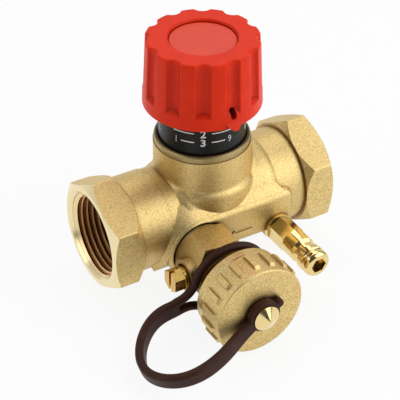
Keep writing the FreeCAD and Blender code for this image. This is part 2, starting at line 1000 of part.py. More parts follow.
def make_drain_spindle_o_ring():
    section = o_ring_section / 4
    place = drain_point(ball_y) - X * (stem_ring_place() + section)
    return Part.makeTorus(drain_stem_radius + running_gap + section, section, place, X)


def make_drain_gasket():
    return tube(
        drain_thread_radius + gasket_lap,
        drain_thread_radius + free_gap,
        drain_point(tube_back),
        Y,
        gasket_height,
    )


def make_drain_ball():
    ball = Part.makeSphere(ball_radius, drain_point(ball_y))
    way = cylinder(way_radius, drain_point(ball_y) - Z * ball_radius, Z, 2 * ball_radius)
    slot = Part.makeBox(
        2 * tang_depth,
        2 * ball_radius,
        tang_width + 2 * running_gap,
        V(
            drain_x - ball_radius - tang_depth,
            ball_y - ball_radius,
            drain_level - tang_width / 2 - running_gap,
        ),
    )
    return ball.cut(way).cut(slot)


def make_ball_seats():
    seats = []
    for side in (-1, 1):
        ring = tube(
            seat_ring_radius,
            way_radius,
            drain_point(ball_y + side * seat_ring_near),
            Y * side,
            seat_ring_far - seat_ring_near,
        )
        seats.append(ring.cut(Part.makeSphere(ball_radius + running_gap, drain_point(ball_y))))
    return Part.makeCompound(seats)


def make_drain_retainer():
    ring = tube(
        seat_ring_radius, way_radius, drain_point(retainer_front), Y, retainer_length
    )
    notch = Part.makeBox(
        2 * seat_ring_radius,
        driver_slot_depth,
        driver_slot_width,
        drain_point(retainer_front) - V(seat_ring_radius, 0, driver_slot_width / 2),
    )
    return ring.cut(notch)


def make_drain_spindle():
    tang_start = ball_radius - tang_depth + running_gap
    stem_start = ball_radius + running_gap
    start = drain_point(ball_y)
    out = X * -1
    stem_end = stem_boss_reach - stem_boss_recess + running_gap
    head_start = stem_end + stem_boss_recess + drain_collar_length
    head_end = head_start + drain_head_length
    stem = cylinder(drain_stem_radius, start + out * stem_start, out, stem_end - stem_start)
    collar = cylinder(drain_collar_radius, start + out * stem_end, out, head_start - stem_end)
    head = prism(drain_head_across, start + out * head_start, out, drain_head_length)
    tang_box = Part.makeBox(
        stem_start - tang_start,
        2 * drain_stem_radius,
        tang_width,
        V(drain_x - stem_start, ball_y - drain_stem_radius, drain_level - tang_width / 2),
    )
    tang_round = cylinder(drain_stem_radius, start + out * tang_start, out, drain_head_length)
    slot = Part.makeBox(
        driver_slot_depth,
        driver_slot_width,
        2 * drain_head_across,
        V(drain_x - head_end, ball_y - driver_slot_width / 2, drain_level - drain_head_across),
    )
    shape = fused([stem, collar, head, tang_box.common(tang_round)])
    return shape.cut(slot)


def make_cap():
    shell = cylinder(cap_radius, drain_point(cap_back), FRONT, cap_length)
    front_rim = edges_where(shell, lambda e: all(near(p.y, cap_front) for p in edge_points(e)))
    shell = shell.makeFillet(cap_front_round, front_rim)
    rib_length = cap_length - cap_rib_front_gap - cap_rib_back_gap
    rib_rise = cap_rib_radius - cap_radius
    ribs = []
    for i in range(cap_rib_count):
        angle = 360.0 * i / cap_rib_count
        rib = Part.makeBox(
            cap_rib_width,
            rib_length,
            cap_rib_radius,
            V(drain_x - cap_rib_width / 2, cap_back - cap_rib_back_gap - rib_length, drain_level),
        )
        rib.rotate(drain_point(0), Y, angle)
        ribs.append(rib)
    crown = turned(
        [
            (0, 0),
            (0, cap_radius),
            (rib_rise, cap_rib_radius),
            (rib_length - rib_rise, cap_rib_radius),
            (rib_length, cap_radius),
            (rib_length, 0),
        ],
        drain_point(cap_back - cap_rib_back_gap),
        FRONT,
    )
    shell = fused([shell] + [rib.common(crown) for rib in ribs])
    bore = cylinder(stub_radius + thread_gap, drain_point(cap_back), FRONT, cap_back - cap_floor)
    pin_hole = cylinder(
        pin_stem_radius + running_gap, drain_point(cap_front), Y, pin_stem_length + running_gap
    )
    return shell.cut(bore).cut(pin_hole)


def make_cap_washer():
    return tube(
        stub_radius - free_gap, stub_bore_radius, drain_point(cap_floor), Y, cap_washer_height
    )


def make_cap_pin():
    front = pin_eye_space + pin_head_rim
    profile = [
        (-pin_stem_length, 0),
        (-pin_stem_length, pin_stem_radius),
        (0, pin_stem_radius),
        (0, pin_neck_radius),
        (pin_eye_space, pin_neck_radius),
        (pin_eye_space, pin_head_radius),
        (front, pin_head_radius),
        (front + pin_head_point, 0),
    ]
    return turned(profile, drain_point(cap_front), FRONT)


def strap_frame(droop_deg, tilt_deg=0.0):
    """Directions along and across the strap where it hangs to the left by droop_deg."""
    droop = math.radians(droop_deg)
    tilt = math.radians(tilt_deg)
    flat = math.cos(tilt)
    along = V(-math.cos(droop) * flat, math.sin(tilt), -math.sin(droop) * flat)
    across = V(-math.sin(droop), 0, math.cos(droop))
    return along, across


def laid(shape, origin, along, across):
    """Moves a shape drawn in the XY plane so that X lies along and Y across."""
    up = along.cross(across)
    shape.Placement = FreeCAD.Placement(
        FreeCAD.Matrix(
            *(along.x, across.x, up.x, origin.x),
            *(along.y, across.y, up.y, origin.y),
            *(along.z, across.z, up.z, origin.z),
        )
    )
    return shape


def fork_outline(round_radius, half_root, fork_radius, tail):
    """Round about the axis that runs over two hollow arcs into a root; tail closes the root."""
    centre = V(strap_fork, half_root + fork_radius, 0)
    big = centre * (round_radius / (round_radius + fork_radius))
    root = V(strap_fork, half_root, 0)
    middle = (big - centre) + (root - centre)
    middle.normalize()
    hollow = centre + middle * fork_radius

    def below(point):
        return V(point.x, -point.y, 0)

    edges = [
        Part.Arc(big, V(-round_radius, 0, 0), below(big)).toShape(),
        Part.Arc(below(big), below(hollow), below(root)).toShape(),
        Part.Arc(root, hollow, big).toShape(),
    ]
    return Part.Wire(Part.__sortEdges__(edges + tail(below(root), root)))


def strap_ring():
    """Ring round the drain tube, forked from the root of the band, its long edges rounded."""
    half = strap_thickness / 2
    tilt = math.radians(strap_ring_tilt_deg)
    inner = (tube_radius + strap_ring_slack + half * math.sin(tilt)) / math.cos(tilt)
    outer = inner + strap_ring_wall
    half_root = strap_root_width / 2
    fork_radius = (strap_fork ** 2 + half_root ** 2 - outer ** 2) / (2 * (outer - half_root))
    end = V(band_start(), 0, 0)

    def flat_tail(low, high):
        low_end = end + Y * low.y
        high_end = end + Y * high.y
        corners = [low, low_end, high_end, high]
        return [Part.LineSegment(p, q).toShape() for p, q in zip(corners, corners[1:])]

    def round_tail(low, high):
        return [Part.Arc(low, V(strap_fork + high.y, 0, 0), high).toShape()]

    outer_face = Part.Face(fork_outline(outer, half_root, fork_radius, flat_tail))
    inner_face = Part.Face(
        fork_outline(
            inner, half_root - strap_ring_wall, fork_radius + strap_ring_wall, round_tail
        )
    )
    plate = outer_face.cut(inner_face).extrude(V(0, 0, strap_thickness))

    def on_face(edge):
        points = edge_points(edge)
        level = all(near(p.z, points[0].z) for p in points)
        at_end = all(near(p.x, end.x) for p in points)
        return level and not at_end

    plate = plate.makeFillet(strap_edge_share * strap_thickness, edges_where(plate, on_face))
    along, across = strap_frame(strap_ring_droop_deg, strap_ring_tilt_deg)
    origin = drain_point(-strap_ring_place) - along.cross(across) * half
    return laid(plate, origin, along, across)


def band_start():
    """Distance from the drain's axis to the start of the looped band."""
    return strap_fork + strap_root_width / 2 - strap_ring_wall + strap_root_lead


def band_section(width, place, heading, across):
    """Rounded rectangle across the band."""
    edge_round = strap_edge_share * strap_thickness
    x = width / 2 - edge_round
    y = strap_thickness / 2 - edge_round
    arcs = []
    for corner_x, corner_y, turn in ((x, y, 45), (-x, y, 135), (-x, -y, 225), (x, -y, 315)):
        points = []
        for angle in (turn - 45, turn, turn + 45):
            out = V(math.cos(math.radians(angle)), math.sin(math.radians(angle)), 0)
            points.append(V(corner_x, corner_y, 0) + out * edge_round)
        arcs.append(points)
    edges = []
    for points, following in zip(arcs, arcs[1:] + arcs[:1]):
        edges.append(Part.Arc(*points).toShape())
        edges.append(Part.LineSegment(points[2], following[0]).toShape())
    return laid(Part.Wire(edges), place, across, heading.cross(across))


def strap_band():
    """Looped band from the ring to the eye, turning and narrowing on its way."""
    ring_along, ring_across = strap_frame(strap_ring_droop_deg, strap_ring_tilt_deg)
    loop_along, loop_across = strap_frame(strap_loop_droop_deg)
    eye_along, eye_across = strap_frame(eye_droop_deg)

    def at(reach, y, rise):
        return drain_point(y) + loop_along * reach + loop_across * rise

    far_y = (eye_middle - strap_ring_place) / 2 - strap_far_front
    stations = [
        drain_point(-strap_ring_place) + ring_along * band_start(),
        at(strap_out_reach, strap_out_back - strap_ring_place, strap_out_rise),
        at(strap_far_reach, far_y, strap_far_rise),
        at(strap_low_reach, eye_middle - strap_low_front, strap_low_rise),
        at(strap_near_reach, eye_middle - strap_near_front, strap_near_rise),
        drain_point(eye_middle) + eye_along * (eye_radius + eye_wall / 2),
    ]
    run = [0.0]
    for station, following in zip(stations, stations[1:]):
        run.append(run[-1] + station.distanceToPoint(following))
    path = Part.BSplineCurve()
    path.interpolate(
        Points=stations,
        Parameters=run,
        InitialTangent=ring_along,
        FinalTangent=eye_along * -1,
        Scale=False,
    )
    first = path.FirstParameter
    last = path.LastParameter
    sections = []
    for i in range(strap_sections):
        share = i / (strap_sections - 1)
        eased = share * share * (3 - 2 * share)
        where = first + (last - first) * share
        heading = path.tangent(where)[0]
        across = ring_across * (1 - eased) + eye_across * eased
        across = across - heading * across.dot(heading)
        across.normalize()
        near_root = max(0.0, 1 - 3 * share)
        near_eye = max(0.0, 3 * share - 2)
        width = (
            strap_width
            + (strap_root_width - strap_width) * near_root
            + (strap_eye_width - strap_width) * near_eye
        )
        sections.append(band_section(width, path.value(where), heading, across))
    return Part.makeLoft(sections, True, False)


def strap_eye():
    """Small eye round the pin's neck, with the nub by which it is pulled on, its edges rounded."""
    along, across = strap_frame(eye_droop_deg)
    disc = cylinder(eye_radius + eye_wall, ORIGIN, Z, eye_thickness)
    half = nub_width / 2
    reach = eye_radius + eye_wall + nub_length - half
    nub = Part.makeBox(reach, nub_width, eye_thickness, V(-reach, -half, 0))
    tip = cylinder(half, V(-reach, 0, 0), Z, eye_thickness)
    eye = fused([disc, nub, tip])
    rims = edges_where(eye, lambda e: all(near(p.z, edge_points(e)[0].z) for p in edge_points(e)))
    eye = laid(eye.makeFillet(eye_edge_round, rims), ORIGIN, along, across)
    eye.translate(drain_point(eye_back) - Y * eye_thickness / 2 - along.cross(across) * eye_thickness / 2)
    return eye


def make_strap():
    eye_hole = cylinder(eye_radius, drain_point(cap_front), FRONT, 2 * eye_thickness)
    return fused([strap_ring(), strap_band(), strap_eye()]).cut(eye_hole)


def nipple_point(y):
    return V(nipple_x, y, nipple_level)


def make_nipple_body():
    profile = [
        (-nipple_thread_length, 0),
        (-nipple_thread_length, nipple_thread_radius),
        (0, nipple_thread_radius),
        (0, nipple_collar_radius),
        (nipple_hex_start, nipple_collar_radius),
        (nipple_hex_start, nipple_groove_radius),
        (nipple_barrel_start, nipple_groove_radius),
        (nipple_barrel_start, nipple_barrel_radius),
        (nipple_groove_start - nipple_slope, nipple_barrel_radius),
        (nipple_groove_start, nipple_groove_radius),
        (nipple_head_start - nipple_slope, nipple_groove_radius),
        (nipple_head_start, nipple_head_radius),
        (nipple_length, nipple_head_radius),
        (nipple_length, 0),
    ]
    shape = turned(profile, nipple_point(pad_face), FRONT)
    tip_rim = edges_where(
        shape,
        lambda e: e.Curve.TypeId == "Part::GeomCircle"
        and near(e.Curve.Center.y, nipple_tip)
        and near(e.Curve.Radius, nipple_head_radius),
    )
    shape = shape.makeFillet(nipple_head_round, tip_rim)
    nut_start = nipple_point(pad_face - nipple_hex_start)
    nut = prism(nipple_hex_across, nut_start, FRONT, nipple_hex_length, nipple_hex_turn_deg)
    nut_round = turned(
        [
            (0, 0),
            (0, nipple_collar_radius),
            (nipple_hex_length - nipple_slope, nipple_collar_radius),
            (nipple_hex_length, nipple_barrel_radius),
            (nipple_hex_length, 0),
        ],
        nut_start,
        FRONT,
    )
    shape = fused([shape, nut.common(nut_round)])
    socket = prism(nipple_socket_across, nipple_point(nipple_tip), Y, nipple_socket_depth)
    throat = cylinder(
        nipple_throat_radius, nipple_point(nipple_tip), Y, pad_face - nipple_tip
    )
    bore = cylinder(
        nipple_bore_radius,
        nipple_point(pad_face + nipple_thread_length),
        FRONT,
        nipple_thread_length + poppet_seat_depth(),
    )
    groove_cut = tube(
        nipple_thread_radius + running_gap,
        nipple_thread_radius - o_ring_section / 2,
        nipple_point(pad_face + nipple_o_ring_place()),
        Y,
        o_ring_section / 2,
    )
    for cut in (socket, throat, bore, groove_cut):
        shape = shape.cut(cut)
    return shape


def nipple_o_ring_place():
    """Depth of the ring groove under the collar."""
    return o_ring_section / 2


def poppet_seat_depth():
    """How far the wide bore reaches past the pad face, to the poppet's seat."""
    return nipple_collar_length + nipple_hex_length / 2


def make_nipple_o_ring():
    section = o_ring_section / 4
    place = nipple_point(pad_face + nipple_o_ring_place() + section)
    return Part.makeTorus(nipple_thread_radius - section, section, place, Y)


def make_nipple_poppet():
    seat = pad_face - poppet_seat_depth()
    probe = nipple_tip + nipple_socket_depth
    pin_radius = nipple_throat_radius - 2 * running_gap
    pin_length = seat - probe + poppet_stroke / 2
    head = cylinder(
        nipple_bore_radius - 2 * running_gap, nipple_point(seat + running_gap), Y, poppet_head_length
    )
    pin = cylinder(pin_radius, nipple_point(seat + running_gap), FRONT, pin_length)
    return fused([head, pin])


def spring_span():
    """Start and end of the spring, between the poppet and the seat ring."""
    start = pad_face - poppet_seat_depth() + running_gap + poppet_head_length
    end = pad_face + nipple_thread_length - nipple_seat_length
    return start, end


def make_nipple_spring():
    start, end = spring_span()
    radius = nipple_bore_radius - spring_wire_radius - 4 * running_gap
    height = end - start - 2 * spring_wire_radius - 2 * running_gap
    path = Part.makeHelix(height / spring_turns, height, radius)
    section = Part.Wire(
        [Part.makeCircle(spring_wire_radius, V(radius, 0, 0), Y)]
    )
    coil = Part.Wire(path).makePipeShell([section], True, True)
    coil.Placement = FreeCAD.Placement(
        nipple_point(start + spring_wire_radius + running_gap), FreeCAD.Rotation(Z, Y)
    )
    return coil


def make_nipple_seat():
    start = nipple_point(pad_face + nipple_thread_length - nipple_seat_length)
    return tube(nipple_bore_radius, nipple_feed_radius, start, Y, nipple_seat_length)


def export(name, shape):
    if not shape.isValid():
        raise ValueError(name + " is not a valid shape")
    shape.exportStep("parts/" + name + ".step")
    print(name, len(shape.Solids), "solids", round(shape.Volume, 2), "mm3")


pieces = {
    "valve_body": make_valve_body,
    "headpiece": make_headpiece,
    "headpiece_o_ring": make_headpiece_o_ring,
    "scale_sleeve": make_scale_sleeve,
    "spindle": make_spindle,
    "spindle_o_rings": make_spindle_o_rings,
    "preset_spindle": make_preset_spindle,
    "preset_o_ring": make_preset_o_ring,
    "cone": make_cone,
    "cone_seal": make_cone_seal,
    "cone_clip": make_cone_clip,
    "knob": make_knob,
    "knob_clip": make_knob_clip,
    "knob_cover": make_knob_cover,
    "drain_body": make_drain_body,
    "drain_gasket": make_drain_gasket,
    "drain_ball": make_drain_ball,
    "ball_seats": make_ball_seats,
    "drain_retainer": make_drain_retainer,
    "drain_spindle": make_drain_spindle,
    "drain_spindle_o_ring": make_drain_spindle_o_ring,
    "cap": make_cap,
    "cap_washer": make_cap_washer,
    "cap_pin": make_cap_pin,
    "strap": make_strap,
    "nipple_body": make_nipple_body,
    "nipple_o_ring": make_nipple_o_ring,
    "nipple_poppet": make_nipple_poppet,
    "nipple_spring": make_nipple_spring,
    "nipple_seat": make_nipple_seat,
}

os.makedirs("parts", exist_ok=True)
for piece_name, make in pieces.items():
    export(piece_name, make())
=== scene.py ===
# %% [markdown]
# # A balancing valve in brass, red plastic and rubber
# The valve sits in a pipe and sets how much water a heating circuit gets. This lesson dresses its solid
# model: the solids are loaded first and stay where they are, and each step adds a finish or a piece.

# %% Load the solids
import math
import bpy
from mathutils import Matrix, Vector


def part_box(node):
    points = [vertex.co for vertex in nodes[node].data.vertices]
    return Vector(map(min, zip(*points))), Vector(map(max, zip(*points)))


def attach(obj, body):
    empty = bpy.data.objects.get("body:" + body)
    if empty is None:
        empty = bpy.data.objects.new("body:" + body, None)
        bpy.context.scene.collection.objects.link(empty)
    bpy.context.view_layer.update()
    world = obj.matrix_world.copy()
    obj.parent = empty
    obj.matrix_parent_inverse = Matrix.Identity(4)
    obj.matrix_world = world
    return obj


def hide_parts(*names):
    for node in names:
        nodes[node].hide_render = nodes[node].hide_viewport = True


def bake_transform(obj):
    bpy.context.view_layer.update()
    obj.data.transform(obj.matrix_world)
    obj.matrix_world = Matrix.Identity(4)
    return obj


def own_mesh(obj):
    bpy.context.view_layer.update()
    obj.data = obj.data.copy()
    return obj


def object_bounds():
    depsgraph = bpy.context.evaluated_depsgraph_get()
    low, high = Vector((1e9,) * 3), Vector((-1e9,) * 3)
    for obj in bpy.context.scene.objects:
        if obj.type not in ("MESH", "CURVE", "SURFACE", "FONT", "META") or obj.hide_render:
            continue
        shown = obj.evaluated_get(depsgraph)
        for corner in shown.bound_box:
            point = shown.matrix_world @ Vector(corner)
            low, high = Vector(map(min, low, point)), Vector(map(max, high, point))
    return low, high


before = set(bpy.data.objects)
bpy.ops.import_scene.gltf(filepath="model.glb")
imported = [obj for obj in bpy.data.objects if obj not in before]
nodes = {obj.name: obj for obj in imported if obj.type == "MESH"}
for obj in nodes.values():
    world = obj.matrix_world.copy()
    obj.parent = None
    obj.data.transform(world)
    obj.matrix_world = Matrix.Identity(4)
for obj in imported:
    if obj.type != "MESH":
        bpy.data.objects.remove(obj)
cad_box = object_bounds()
MM = 0.001
print("solids:", len(nodes), "box:", [round(v / MM, 1) for v in (*cad_box[0], *cad_box[1])])

# %% [markdown]
# ## Places to build on
# The lesson needs a few places again and again: the pipe's axis is the X axis, the spindle stands over
# the middle of the body, and the drain and the test nipple point to the front. They are read from the
# boxes of the solids, so they follow if the solids change.

# %% Places
body_low, body_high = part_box("valve_body")
sleeve_low, sleeve_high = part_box("scale_sleeve")
pin_low, pin_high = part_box("cap_pin")
poppet_low, poppet_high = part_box("nipple_poppet")
cap_back_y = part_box("cap")[1].y
tube_tip_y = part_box("drain_body")[0].y
nipple_tip_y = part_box("nipple_body")[0].y
stem_x = (sleeve_low.x + sleeve_high.x) / 2
sleeve_radius = (sleeve_high.x - sleeve_low.x) / 2
seam_z = sleeve_low.z
drain_x = (pin_low.x + pin_high.x) / 2
drain_z = (pin_low.z + pin_high.z) / 2
nipple_x = (poppet_low.x + poppet_high.x) / 2
nipple_z = (poppet_low.z + poppet_high.z) / 2
print("spindle at x", round(stem_x / MM, 2))
print("drain at x", round(drain_x / MM, 2), "z", round(drain_z / MM, 2))

# %% [markdown]
# ## Working as by hand
# An operator acts on whatever is selected, so each step first lets go of everything and then takes up
# one piece. A finished piece keeps its place in its mesh, with its object at the origin.

# %% Taking pieces up and putting them down
MERGE = 1e-6


def let_go():
    if bpy.context.object and bpy.context.object.mode != "OBJECT":
        bpy.ops.object.mode_set(mode="OBJECT")
    bpy.ops.object.select_all(action="DESELECT")


def take(*pieces):
    let_go()
    for piece in pieces:
        piece.select_set(True)
    bpy.context.view_layer.objects.active = pieces[0]


def settle(piece):
    """Moves a piece's place, turn and scale into its mesh."""
    take(piece)
    bpy.ops.object.transform_apply(location=True, rotation=True, scale=True)


def press_on(piece, kind, **settings):
    """Adds a modifier with its settings and applies it."""
    take(piece)
    modifier = piece.modifiers.new(kind.title(), kind)
    for name, value in settings.items():
        setattr(modifier, name, value)
    bpy.ops.object.modifier_apply(modifier=modifier.name)


def cut_with(piece, cutter):
    """Cuts a closed cutter out of a piece and throws the cutter away."""
    press_on(piece, "BOOLEAN", operation="DIFFERENCE", object=cutter, solver="EXACT")
    bpy.data.objects.remove(cutter)


def clean(piece):
    """Merges doubles and turns every face outwards."""
    take(piece)
    bpy.ops.object.mode_set(mode="EDIT")
    bpy.ops.mesh.select_all(action="SELECT")
    bpy.ops.mesh.remove_doubles(threshold=MERGE)
    bpy.ops.mesh.normals_make_consistent(inside=False)
    bpy.ops.object.mode_set(mode="OBJECT")


def smooth(piece, degrees):
    take(piece)
    bpy.ops.object.shade_smooth_by_angle(angle=math.radians(degrees))


def copy_of(node, name):
    """A piece with a copy of a solid's mesh, its loose triangles merged."""
    piece = bpy.data.objects.new(name, nodes[node].data.copy())
    bpy.context.scene.collection.objects.link(piece)
    take(piece)
    bpy.ops.mesh.customdata_custom_splitnormals_clear()
    bpy.ops.object.mode_set(mode="EDIT")
    bpy.ops.mesh.select_all(action="SELECT")
    bpy.ops.mesh.remove_doubles(threshold=MERGE)
    bpy.ops.object.mode_set(mode="OBJECT")
    return piece


def wear(piece, finish):
    """Gives a piece one finish all over."""
    piece.data.materials.clear()
    piece.data.materials.append(finish.material)


def made(piece, body, slot, *stands_for):
    """Hands a finished piece to its body and hides the solids it stands for; slot is not used."""
    let_go()
    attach(piece, body)
    if stands_for:
        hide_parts(*stands_for)
    print(piece.name, len(piece.data.polygons), "faces, rides on", body)


print("helpers ready")

# %% [markdown]
# ## Writing finishes as sums
# A finish is a tree of shader nodes. A small class wraps a socket so that plain arithmetic on it adds
# the Math nodes, and one method adds any other node with its settings and its inputs.


# %% Shader arithmetic
class Reading:
    """A number, colour or vector that a node gives, with arithmetic for numbers."""

    def __init__(self, finish, socket):
        self.finish = finish
        self.socket = socket

    def __add__(self, other):
        return self.finish.maths("ADD", self, other)

    def __sub__(self, other):
        return self.finish.maths("SUBTRACT", self, other)

    def __rsub__(self, other):
        return self.finish.maths("SUBTRACT", other, self)

    def __mul__(self, other):
        return self.finish.maths("MULTIPLY", self, other)

    def at_least(self, other):
        return self.finish.maths("MAXIMUM", self, other)

    __radd__ = __add__
    __rmul__ = __mul__


class Finish:
    """The node tree of a material or of the world, its shader and its coordinates."""

    def __init__(self, name, of_world=False):
        kind = bpy.data.worlds if of_world else bpy.data.materials
        self.material = kind.new(name)
        self.material.use_nodes = True
        self.tree = self.material.node_tree
        self.shader = self.tree.nodes["Background" if of_world else "Principled BSDF"]
        self.place = self.node("ShaderNodeTexCoord", output="Generated" if of_world else "Object")

    def node(self, kind, output=0, settings=None, **inputs):
        """Adds a node; an input named i0, i1 and so on is taken by its number."""
        node = self.tree.nodes.new(kind)
        for name, value in (settings or {}).items():
            setattr(node, name, value)
        for name, value in inputs.items():
            key = int(name[1:]) if name[1:].isdigit() else name.replace("_", " ")
            self.join(node.inputs[key], value)
        return Reading(self, node.outputs[output])

    def join(self, socket, value):
        if isinstance(value, Reading):
            self.tree.links.new(value.socket, socket)
        else:
            socket.default_value = value

    def maths(self, operation, a, b):
        return self.node("ShaderNodeMath", settings={"operation": operation}, i0=a, i1=b)

    def axis(self, letter):
        return self.node("ShaderNodeSeparateXYZ", output=letter, Vector=self.place)

    def length(self, **sides):
        """The length of a vector that is given by some of its X, Y and Z sides."""
        vector = self.node("ShaderNodeCombineXYZ", **sides)
        return self.node(
            "ShaderNodeVectorMath", output="Value", settings={"operation": "LENGTH"}, i0=vector
        )

    def noise(self, size_mm, detail=2.0, rough=0.5, stretch=(1, 1, 1)):
        """Noise whose grain is about size_mm, from 0 to 1."""
        place = self.node(
            "ShaderNodeVectorMath", settings={"operation": "MULTIPLY"}, i0=self.place, i1=stretch
        )
        return self.node(
            "ShaderNodeTexNoise", Vector=place, Scale=1 / (size_mm * MM), Detail=detail, Roughness=rough
        )

    def band(self, value, low, high):
        """0 where value is under low, 1 over high, smooth between; low may be the larger."""
        return self.node(
            "ShaderNodeMapRange",
            settings={"interpolation_type": "SMOOTHSTEP"},
            Value=value,
            From_Min=low,
            From_Max=high,
        )

    def mix(self, share, a, b):
        return self.node(
            "ShaderNodeMix", output="Result", settings={"data_type": "RGBA"}, Factor=share, A=a, B=b
        )

    def bumps(self, height, deep_mm, strength, under):
        """A normal with bumps of the given height over the normal that lies under them."""
        return self.node(
            "ShaderNodeBump", Height=height, Distance=deep_mm * MM, Strength=strength, Normal=under
        )

    def open_air(self, reach_mm):
        """1 on open surfaces, less in corners that something stands over within reach_mm."""
        return self.node(
            "ShaderNodeAmbientOcclusion", output="AO", settings={"samples": 8}, Distance=reach_mm * MM
        )

    def soft_edges(self, radius_mm):
        """A normal that runs softly over sharp edges."""
        return self.node("ShaderNodeBevel", settings={"samples": 6}, Radius=radius_mm * MM)

    def shares(self, share, other):
        """Shows another shader in the given share, and this tree's own shader in the rest."""
        own = Reading(self, self.shader.outputs[0])
        both = self.node("ShaderNodeMixShader", i0=share, i1=own, i2=other)
        output = next(node for node in self.tree.nodes if node.type.startswith("OUTPUT"))
        self.join(output.inputs["Surface"], both)

    def shade(self, **sockets):
        """Sets the shader's sockets, as numbers or readings."""
        for name, value in sockets.items():
            self.join(self.shader.inputs[name.replace("_", " ")], value)
        return self


def colour(red, green, blue):
    """A colour as seen on a screen, 0 to 255, in the shader's linear light."""

    def linear(part):
        part = part / 255
        return part / 12.92 if part <= 0.04045 else ((part + 0.055) / 1.055) ** 2.4

    return (linear(red), linear(green), linear(blue), 1.0)


def darker(base, share):
    """A colour with only a share of its light left."""
    return tuple(part * share for part in base[:3]) + (1.0,)


print("shader arithmetic ready")

# %% [markdown]
# ## Blasted brass
# The body, the drain and the cap are hot forgings that were blasted with grit. Real blasted brass is a
# metal with a fine grain that breaks the light up: a rough metal with a grain bump, a speckle in its
# colour and some slow changes of tone. Painted shade darkens it in corners and where other pieces stand
# over it. Masks say where a tool has passed later, because the same finish is paler and smoother there.

# %% Blasted brass
# BRASS_DEEP is the dark of the grain, and also the colour of painted shade.
BRASS_DEEP = colour(112, 78, 34)
BRASS_DARK = colour(208, 177, 108)
BRASS_MID = colour(238, 210, 142)
BRASS_PALE = colour(248, 234, 190)
BRASS_TURNED = colour(240, 222, 174)
# Painted shade in the bores.
BORE_SHADE = colour(118, 76, 32)
# Painted deep shade, used in hollows and under the sleeve.
PAINTED_SHADE = colour(30, 20, 10)
GRAIN_MM = 0.36
FINE_GRAIN_MM = 0.2
TONE_MM = 9.0
# Reaches of the painted shade under other pieces and in corners.
SHELTER_MM = 14
CORNER_MM = 2.0
TURNED_ROUGH = 0.24


def blasted(finish, turned=None, bore_shade=None, shaded=None, shelter=0.6):
    """Grain and tone of blasted brass, with painted shade; masks say where it is turned, where shade is
    painted into the bores and where deep shade is painted.

    shelter says how much painted shade darkens it where other pieces stand over it.
    """
    grain = finish.noise(GRAIN_MM, detail=2.0, rough=0.6)
    fine = finish.noise(FINE_GRAIN_MM, detail=1.0)
    tone = finish.noise(TONE_MM, detail=2.0)
    # Painted shade: darker where other pieces stand over it, and in corners.
    shelter_shade = finish.band(finish.open_air(SHELTER_MM), 0.92, 0.3)
    corner_shade = finish.band(finish.open_air(CORNER_MM), 0.85, 0.35)
    base = finish.mix(0.35 + tone * 0.5, BRASS_DARK, BRASS_MID)
    base = finish.mix(finish.band(grain, 0.5, 0.72) * 0.75, base, BRASS_PALE)
    base = finish.mix(finish.band(grain, 0.5, 0.3) * 0.4, base, BRASS_DEEP)
    base = finish.mix(shelter_shade * shelter, base, BRASS_DEEP)
    base = finish.mix(corner_shade * 0.8, base, BRASS_DEEP)
    rough = 0.4 + grain * 0.16
    height = grain * 0.7 + fine * 0.4
    if turned is not None:
        base = finish.mix(turned, base, BRASS_TURNED)
        rough = rough * (1 - turned) + turned * TURNED_ROUGH
        height = height * (1 - turned * 0.9)
    # Painted shade in the bores.
    if bore_shade is not None:
        base = finish.mix(bore_shade, base, BORE_SHADE)
    # Painted deep shade where the mask says.
    if shaded is not None:
        base = finish.mix(shaded * 0.9, base, PAINTED_SHADE)
    normal = finish.bumps(height, deep_mm=0.12, strength=0.6, under=finish.soft_edges(0.2))
    return finish.shade(Base_Color=base, Roughness=rough, Metallic=1.0, Normal=normal)


print("blasted brass ready")

# %% [markdown]
# ## Forged brass of the body
# The two pipe faces, the corners of the hexagons and the countersinks are turned after forging. Each mask
# reads how far a point lies along the pipe and from its axis. Shade is painted brown into the bores, and
# painted shade with a painted dark reflection of the sleeve darkens the rim under the sleeve.

# %% Forged brass of the body
HEX_FACE_RADIUS = 15.6 * MM
HEX_CORNER_DEG = 30
FACE_SOFT = (0.14 * MM, 0.06 * MM)
COUNTERSINK = (14.2 * MM, 14.1 * MM)
BORE = (13.3 * MM, 13.26 * MM)
BORE_LONG = (16 * MM, 15 * MM)
RIM_TURNED = 0.2
SHADE_WIDE = (2.0 * MM, 0.6 * MM)

forged = Finish("forged_brass")
along = forged.axis("X")
level = forged.axis("Z")
reach = forged.length(Y=forged.axis("Y"), Z=level)
round_stem = forged.length(X=along - stem_x, Y=forged.axis("Y"))

corner = (reach - HEX_FACE_RADIUS).at_least(0.0) * math.tan(math.radians(HEX_CORNER_DEG))
left_face = forged.band(along - corner, *(body_low.x + soft for soft in FACE_SOFT))
right_face = forged.band(along + corner, *(body_high.x - soft for soft in FACE_SOFT))
countersink = forged.band(reach, *COUNTERSINK)
rim = forged.band(level, seam_z + 0.1 * MM, seam_z + 0.3 * MM) * RIM_TURNED
turned = left_face.at_least(right_face).at_least(countersink).at_least(rim)

left_end = forged.band(along, *BORE_LONG)
right_end = forged.band(along, *(body_high.x - long for long in BORE_LONG))
# Painted shade inside both bores.
bore_shade = forged.band(reach, *BORE) * left_end.at_least(right_end)

# Painted shade and a painted dark reflection of the sleeve on the rim under it.
shaded = forged.band(round_stem, *(sleeve_radius + wide for wide in SHADE_WIDE))
shaded = shaded * forged.band(level, seam_z - 0.2 * MM, seam_z)
blasted(forged, turned, bore_shade, shaded)
print("forged brass: turned at x", round(body_low.x / MM, 2), "and", round(body_high.x / MM, 2))

# %% [markdown]
# ## Brass of the drain and the cap
# These are forgings too. The drain stands in the shelter of the knob and the body, so more shade is
# painted on it; the cap stands free, and its back rim is turned.

# %% Drain and cap brass
drain_brass = Finish("drain_brass")
# Strong painted shade on the drain.
blasted(drain_brass, shelter=0.95)

cap_brass = Finish("cap_brass")
back_rim = cap_brass.band(cap_brass.axis("Y"), cap_back_y - 0.45 * MM, cap_back_y - 0.3 * MM)
blasted(cap_brass, back_rim, shelter=0.25)
print("drain and cap brass ready")
